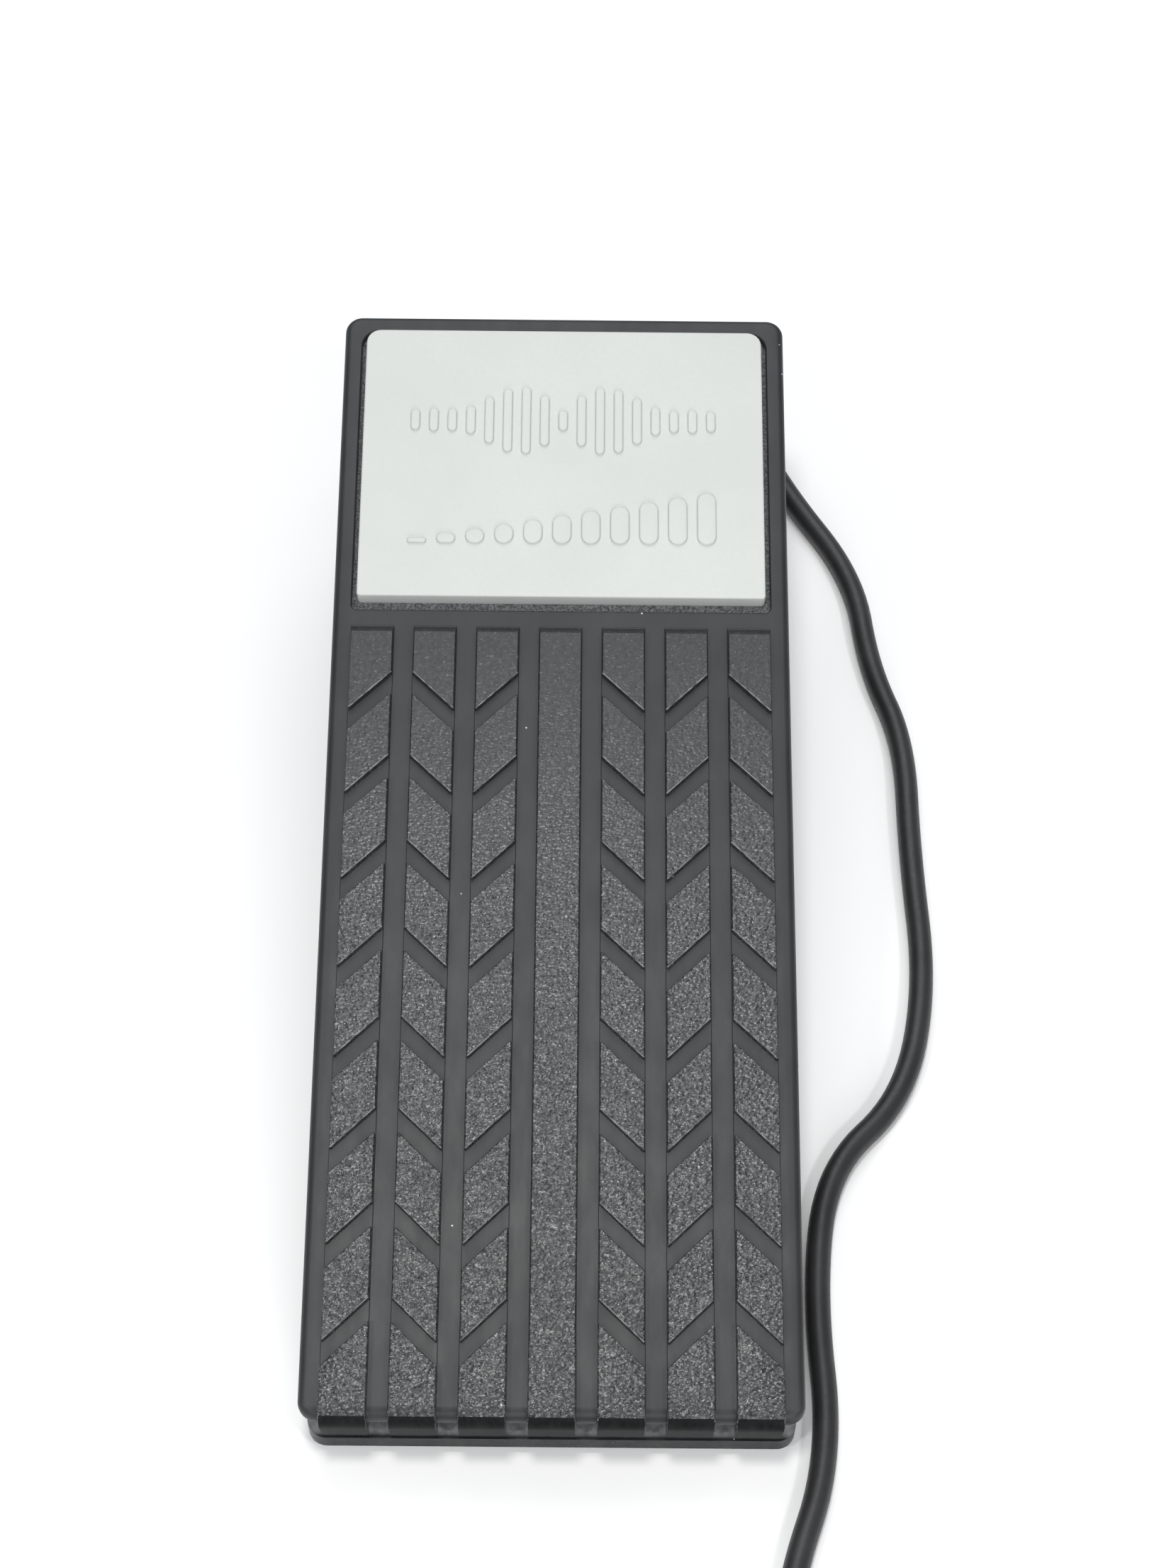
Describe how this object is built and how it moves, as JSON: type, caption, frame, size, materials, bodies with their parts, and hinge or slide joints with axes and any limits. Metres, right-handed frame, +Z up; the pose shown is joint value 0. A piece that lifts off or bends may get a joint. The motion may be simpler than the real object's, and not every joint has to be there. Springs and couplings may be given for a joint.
{
  "type": "volume pedal",
  "caption": "Compact rocking foot pedal that sets the volume of an instrument: a grained treadle on a low base, with a fixed cord ending in a jack plug.",
  "frame": {"origin": "on the ground under the middle of the pedal, the cord left out", "axes": "+Z up, +Y towards the toe end, +X to the user's right"},
  "size_m": [0.1874, 0.4021, 0.069],
  "materials": {
    "base_plastic": "satin black moulded plastic",
    "treadle_plastic": "charcoal moulded plastic, fine grain; raised bands coarsely grained",
    "badge_plastic": "pale grey-green matt moulded plastic",
    "cover_steel": "black painted steel sheet",
    "steel": "bright steel",
    "zinc": "zinc plated",
    "brass": "turned brass",
    "gear_plastic": "natural acetal",
    "rubber": "moulded rubber",
    "board": "paper laminate",
    "wire": "insulated wire",
    "cord_rubber": "satin black cord jacket",
    "plug_grip_plastic": "moulded black grip",
    "plug_metal": "nickel plated",
    "insulator": "black insulator",
    "knob_plastic": "black fluted knob"
  },
  "bodies": {
    "base": {"base_shell": "base_plastic", "bottom_cover": "cover_steel", "cover_screws": "zinc", "foot_heel_left": "rubber", "foot_heel_right": "rubber", "foot_toe_left": "rubber", "foot_toe_right": "rubber", "bush_left": "brass", "bush_right": "brass", "pot_bracket": "zinc", "bracket_screws": "zinc", "pot_body": "zinc", "pot_washer": "zinc", "pot_nut": "zinc", "heel_stop_pad": "rubber", "toe_stop_pad": "rubber", "level_pot_body": "zinc", "level_pot_nut": "zinc", "terminal_board": "board", "board_spacers": "brass", "board_screws": "zinc", "inner_wires": "wire", "cord_gland": "rubber", "cord_tube": "cord_rubber", "cord_coil": "cord_rubber", "cord_tail": "cord_rubber", "plug_boot": "plug_grip_plastic", "plug_grip": "plug_grip_plastic", "plug_sleeve": "plug_metal", "plug_insulators": "insulator", "plug_ring": "plug_metal", "plug_tip": "plug_metal"},
    "treadle": {"treadle_shell": "treadle_plastic", "badge_plate": "badge_plastic", "pivot_shaft": "steel", "shaft_clips": "steel", "gear_sector": "gear_plastic", "sector_screws": "zinc"},
    "pinion": {"drive_pinion": "gear_plastic", "pot_shaft": "steel"},
    "knob": {"level_knob": "knob_plastic", "level_pot_shaft": "steel"}
  },
  "joints": [
    {"name": "treadle_rock", "type": "hinge", "parent": "base", "child": "treadle", "pos_m": [0, 0, 0.03], "axis": [-1, 0, 0], "range_deg": [0, 20]},
    {"name": "pinion_turn", "type": "hinge", "parent": "base", "child": "pinion", "pos_m": [0, 0.03757, 0.02338], "axis": [-1, 0, 0], "range_deg": [-110, 0]},
    {"name": "level_turn", "type": "hinge", "parent": "base", "child": "knob", "pos_m": [-0.0468, 0.035, 0.0152], "axis": [-1, 0, 0], "range_deg": [-140, 140]}
  ],
  "couplings": [
    {"joint": "pinion_turn", "follows": "treadle_rock", "ratio": -5.3333}
  ]
}
